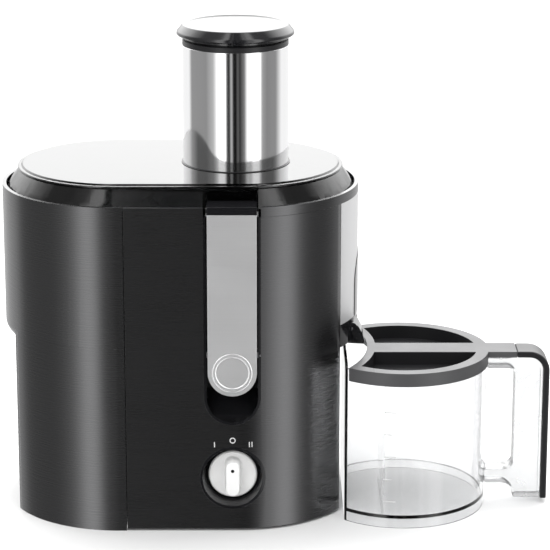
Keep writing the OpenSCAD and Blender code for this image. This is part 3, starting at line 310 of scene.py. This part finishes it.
def satin_trim():
    """The rim's outside has the body's finish, and the rest of it is gloss black."""
    trim = nodes["top_trim_ring"]
    trim.data.materials.append(MATERIALS["housing_plastic"])
    low, high = (Vector(c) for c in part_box("motor_housing"))
    left, right = plan_centres(Vector(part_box("pulp_container")[0]), high)
    for polygon in trim.data.polygons:
        x, y, _ = trim.matrix_world @ polygon.center
        outwards = Vector((x - min(max(x, left), right), y - (low.y + high.y) / 2))
        if abs(polygon.normal.z) < 0.5 and polygon.normal.xy.dot(outwards) > 0:
            polygon.material_index = 1


satin_trim()


def paint_lighter_jug_base():
    """The jug's level faces get a near-colourless copy of its clear plastic, painted light that shows its
    foot lighter than the shade under the jug leaves it; its wall keeps the grey tint, which shows where it's
    seen edge on.
    """
    jug = nodes["jug_body"]
    jug.data.materials.append(MATERIALS["clear_base"])
    for polygon in jug.data.polygons:
        if abs(polygon.normal.z) > 0.7:
            polygon.material_index = 1


paint_lighter_jug_base()

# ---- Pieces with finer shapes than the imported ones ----


def piece(name, mesh, body, slot, *replaced):
    """Puts a finished mesh in the scene, riding on its body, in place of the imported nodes."""
    obj = bpy.data.objects.new(name, mesh)
    bpy.context.scene.collection.objects.link(obj)
    wear(obj, MATERIALS[slot])
    for polygon in mesh.polygons:
        polygon.use_smooth = True
    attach(obj, body)
    if replaced:
        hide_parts(*replaced)
    return obj


def filleted(points, steps=6):
    """A line through (u, v, radius) points, in mm, with each corner rounded by its radius."""
    line = []
    for i, (u, v, radius) in enumerate(points):
        here = Vector((u, v))
        if radius == 0 or i in (0, len(points) - 1):
            line.append(here)
            continue
        to_last = (Vector(points[i - 1][:2]) - here).normalized()
        to_next = (Vector(points[i + 1][:2]) - here).normalized()
        half = to_last.angle(to_next) / 2
        reach = radius / math.tan(half)
        centre = here + (to_last + to_next).normalized() * (radius / math.sin(half))
        start, end = here + to_last * reach - centre, here + to_next * reach - centre
        sweep = start.angle_signed(end)
        for k in range(steps + 1):
            a = -sweep * k / steps
            line.append(centre + Matrix.Rotation(a, 2) @ start)
    return line


def loft(name, rings, closed_ends=True):
    """A mesh through rings of equally many points."""
    mesh = bpy.data.meshes.new(name)
    count = len(rings[0])
    faces = []
    for r in range(len(rings) - 1):
        for i in range(count):
            j = (i + 1) % count
            faces.append((r * count + i, r * count + j, (r + 1) * count + j, (r + 1) * count + i))
    if closed_ends:
        faces.append(tuple(reversed(range(count))))
        faces.append(tuple(range((len(rings) - 1) * count, len(rings) * count)))
    mesh.from_pydata([tuple(p) for ring in rings for p in ring], [], faces)
    bm = bmesh.new()
    bm.from_mesh(mesh)
    bmesh.ops.remove_doubles(bm, verts=bm.verts, dist=0.001 * MM)
    bmesh.ops.recalc_face_normals(bm, faces=bm.faces)
    for edge in bm.edges:
        edge.smooth = not (edge.is_manifold and edge.calc_face_angle(0) > math.radians(32))
    bm.to_mesh(mesh)
    bm.free()
    return mesh


def turned_mesh(name, outline, centre, along_y=False, sides=144):
    """A turned shape from an outline of (radius, height) in mm, about a vertical axis or one along Y."""
    rings = []
    for radius, height in outline:
        ring = []
        for k in range(sides):
            a = 2 * math.pi * k / sides
            c, s = max(radius, 0.001) * MM * math.cos(a), max(radius, 0.001) * MM * math.sin(a)
            offset = Vector((c, height * MM, s)) if along_y else Vector((c, s, height * MM))
            ring.append(Vector(centre) + offset)
        rings.append(ring)
    return loft(name, rings, closed_ends=False)


def middle_of(node):
    low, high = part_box(node)
    return (Vector(low) + Vector(high)) / 2, Vector(low), Vector(high)


def pusher_cap():
    middle, low, high = middle_of("pusher_cap")
    neck = (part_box("chute_sleeve")[1][0] - middle.x) / MM
    rim = (high.x - low.x) / 2 / MM
    under = (low.z - high.z) / MM
    outline = filleted([
        (0, -1.1, 0), (rim - 9, -1.1, 3), (rim - 7.2, -0.1, 0.8), (rim - 5, 0, 1.6), (rim - 0.6, -5.4, 2.5),
        (rim, -7.8, 1.3), (rim - 2, -8.6, 0.8), (neck, -8.9, 0.4), (neck - 0.4, -10.5, 0.3),
        (neck - 3.2, -10.5, 0.2), (neck - 3.2, under, 0.2), (0, under, 0),
    ])
    mesh = turned_mesh("pusher_cap_round", outline, (middle.x, middle.y, high.z))
    piece("pusher_cap_round", mesh, "pusher", "gloss_black", "pusher_cap")


def platform_bead():
    """A bead round the lid, on the shoulder just below its platform."""
    lid = nodes["lid_cover"]
    places = [lid.matrix_world @ vertex.co for vertex in lid.data.vertices]
    top = max(place.z for place in places)
    flat = [place for place in places if top - place.z < 0.01 * MM]
    low = Vector((min(p.x for p in flat), min(p.y for p in flat)))
    high = Vector((max(p.x for p in flat), max(p.y for p in flat)))
    left, right = plan_centres(low, high)
    radius = (high.y - low.y) / 2
    # distance out from the platform's edge, and height from its top
    section = [(0.8, -1.6), (1.0, -1.15), (1.4, -1.0), (3.0, -1.1), (3.6, -1.35), (3.9, -1.8), (3.9, -2.4),
               (3.3, -3.4), (1.5, -3.4), (0.8, -1.6)]
    sides = 96
    rings = []
    for out, up in section:
        ring = []
        for k in range(2 * sides):
            on_right = k < sides
            along = (k % sides) / (sides - 1)
            a = math.pi * (along - 0.5 if on_right else along + 0.5)
            x = right if on_right else left
            r = radius + out * MM
            ring.append(Vector((x + r * math.cos(a), (low.y + high.y) / 2 + r * math.sin(a), top + up * MM)))
        rings.append(ring)
    piece("platform_bead", loft("platform_bead", rings, closed_ends=False), "lid", "clear_lid")


# How far the knob's grip stands out from its disc, the rounding of its front edge, and its face
GRIP_OUT = 12.5
GRIP_EDGE = 1.4
GRIP_STRAIGHT = 11.0
GRIP_HALF_WIDTH = 5.3
GRIP_HALF_HEIGHT = 13.6


def control_knob():
    middle, low, high = middle_of("control_knob")
    radius = (high.x - low.x) / 2 / MM
    face = low.y + GRIP_OUT * MM
    depth = (high.y - face) / MM
    outline = filleted([(0, 0.5, 0), (radius - 5, 0.35, 20), (radius - 1, 0.05, 1.2), (radius, 1.3, 0.8),
                        (radius - 0.1, depth, 0.3), (0, depth, 0)])
    centre = (middle.x, face, middle.z)
    disc = turned_mesh("knob_disc", outline, centre, along_y=True)
    piece("knob_disc", disc, "knob", "knob_white", "control_knob")
    # the bar: rounded slots, one in front of the other, from its foot to its face
    sections = [(1.0, 6.6, 15.4), (0.2, 6.3, 15.0), (-0.5, 5.9, 14.6), (-2.0, 5.75, 14.4)]
    steps = 6
    for k in range(steps + 1):
        a = math.radians(90 * k / steps)
        inset = GRIP_EDGE * (1 - math.cos(a))
        out = -GRIP_STRAIGHT - (GRIP_EDGE - 0.05) * math.sin(a)
        sections.append((out, GRIP_HALF_WIDTH - inset, GRIP_HALF_HEIGHT - inset))
    rings = []
    for out, half_width, half_height in sections:
        ring = []
        for k in range(96):
            a = 2 * math.pi * k / 96
            end = math.copysign(half_height - half_width, math.sin(a)) if abs(math.sin(a)) > 1e-9 else 0
            x, z = half_width * math.cos(a), half_width * math.sin(a) + end
            ring.append(Vector(centre) + Vector((x, out, z)) * MM)
        rings.append(ring)
    piece("knob_bar", loft("knob_bar", rings), "knob", "knob_white")


pusher_cap()
control_knob()
platform_bead()

# ---- Camera, light and floor ----

camera_data = bpy.data.cameras.new("camera")
camera_data.sensor_width = 36
camera_data.lens = 161.0
camera_data.shift_x = 0.0157
camera_data.shift_y = -0.0415
camera_data.clip_end = 50
camera = bpy.data.objects.new("camera", camera_data)
camera.location = (-0.00815, -1.85497, 0.70287)
camera.rotation_euler = (math.radians(74.76), 0, 0)
bpy.context.scene.collection.objects.link(camera)
bpy.context.scene.camera = camera
bpy.context.scene.view_settings.view_transform = "Standard"


def area_light(name, place, aim, size, power):
    data = bpy.data.lights.new(name, "AREA")
    data.shape = "RECTANGLE"
    data.size, data.size_y = size
    data.energy = power
    light = bpy.data.objects.new(name, data)
    light.location = place
    light.rotation_euler = (Vector(aim) - Vector(place)).to_track_quat("-Z", "Y").to_euler()
    light.visible_glossy = False
    bpy.context.scene.collection.objects.link(light)


area_light("overhead", (0.1, -0.4, 2.4), (0, 0, 0.1), (2.4, 2.0), 62)
area_light("front_fill", (-0.9, -2.4, 1.2), (0, 0, 0.15), (1.6, 1.2), 16)

# Bright and dark upright bands round the studio: degrees from the camera's side, towards +X, and brightness
BANDS = [
    (-180, 1.3), (-120, 1.3), (-110, 0.42), (-66, 0.38), (-48, 0.7), (-40, 1.6), (-35, 2.9), (-24, 2.9),
    (-18, 0.1), (-12, 0.01), (-10, 0.6), (-7, 0.6), (-5, 0.01), (2, 0.01), (4, 0.14), (7, 0.14), (9, 0.02),
    (20, 0.3), (26, 1.6), (34, 1.6), (40, 2.9), (51, 2.9), (60, 0.5), (72, 0.34), (98, 0.38), (118, 1.3),
    (180, 1.3),
]
# The brightness that the bands are scaled by, and that of the sky behind the object and above it
BRIGHTEST = 3.0
SKY_BEHIND = 11.0
SKY_ABOVE = 0.1
# How the backdrop that clear pieces show greys from straight behind towards the sides
BACKDROP_FALL = 1.7
BACKDROP_DROP = 0.5
DARKEST_BACKDROP = 0.35


def studio():
    world = bpy.data.worlds.new("studio")
    world.use_nodes = True
    bpy.context.scene.world = world
    tree, link = world.node_tree.nodes, world.node_tree.links.new
    direction = tree.new("ShaderNodeTexCoord").outputs["Generated"]
    split = tree.new("ShaderNodeSeparateXYZ")
    link(direction, split.inputs["Vector"])

    def compute(operation, *values):
        node = tree.new("ShaderNodeMath")
        node.operation = operation
        for socket, value in zip(node.inputs, values):
            if hasattr(value, "default_value"):
                link(value, socket)
            else:
                socket.default_value = value
        return node.outputs["Value"]

    backwards = compute("MULTIPLY", split.outputs["Y"], -1.0)
    angle = compute("ARCTAN2", split.outputs["X"], backwards)
    turn = compute("ADD", compute("MULTIPLY", angle, 1 / (2 * math.pi)), 0.5)
    ramp = tree.new("ShaderNodeValToRGB")
    ramp.color_ramp.interpolation = "LINEAR"
    elements = ramp.color_ramp.elements
    for i, (degrees, bright) in enumerate(BANDS):
        if i == 0:
            element = elements[0]
        elif i == len(BANDS) - 1:
            element = elements[-1]
        else:
            element = elements.new(degrees / 360 + 0.5)
        element.color = (*[bright / BRIGHTEST] * 3, 1)
    link(turn, ramp.inputs["Fac"])
    # a bright sky above and behind the object
    behind = compute("MAXIMUM", split.outputs["Y"], 0.0)
    upward = compute("MAXIMUM", split.outputs["Z"], 0.0)
    extra = compute("MULTIPLY", compute("MULTIPLY", behind, upward), SKY_BEHIND)
    bands = tree.new("ShaderNodeRGBToBW")
    link(ramp.outputs["Color"], bands.inputs["Color"])
    sides = compute("MULTIPLY", bands.outputs["Val"], BRIGHTEST)
    level = compute("ADD", compute("ADD", sides, extra), compute("MULTIPLY", upward, SKY_ABOVE))
    # straight through clear pieces the white backdrop shows, and towards the sides it greys
    seen = tree.new("ShaderNodeBackground")
    greying = compute("SUBTRACT", compute("MULTIPLY", split.outputs["Y"], BACKDROP_FALL), BACKDROP_DROP)
    backdrop = compute("MINIMUM", compute("MAXIMUM", greying, DARKEST_BACKDROP), 1.0)
    rays = tree.new("ShaderNodeLightPath").outputs
    link(compute("MAXIMUM", backdrop, rays["Is Camera Ray"]), seen.inputs["Strength"])
    light = tree.new("ShaderNodeBackground")
    link(level, light.inputs["Strength"])
    mix = tree.new("ShaderNodeMixShader")
    link(compute("MAXIMUM", rays["Is Camera Ray"], rays["Is Transmission Ray"]), mix.inputs["Fac"])
    link(light.outputs["Background"], mix.inputs[1])
    link(seen.outputs["Background"], mix.inputs[2])
    link(mix.outputs["Shader"], tree["World Output"].inputs["Surface"])


studio()


def floor():
    mesh = bpy.data.meshes.new("floor")
    half = 6.0
    corners = [(-half, -half, 0), (half, -half, 0), (half, half, 0), (-half, half, 0)]
    mesh.from_pydata(corners, [], [(0, 1, 2, 3)])
    obj = bpy.data.objects.new("floor", mesh)
    bpy.context.scene.collection.objects.link(obj)
    t = Tree("floor_white")
    t.set(Base_Color=(0.6, 0.6, 0.6, 1), Roughness=0.9, Specular_IOR_Level=0.1)
    wear(obj, t.material)
    obj.visible_glossy = False


floor()
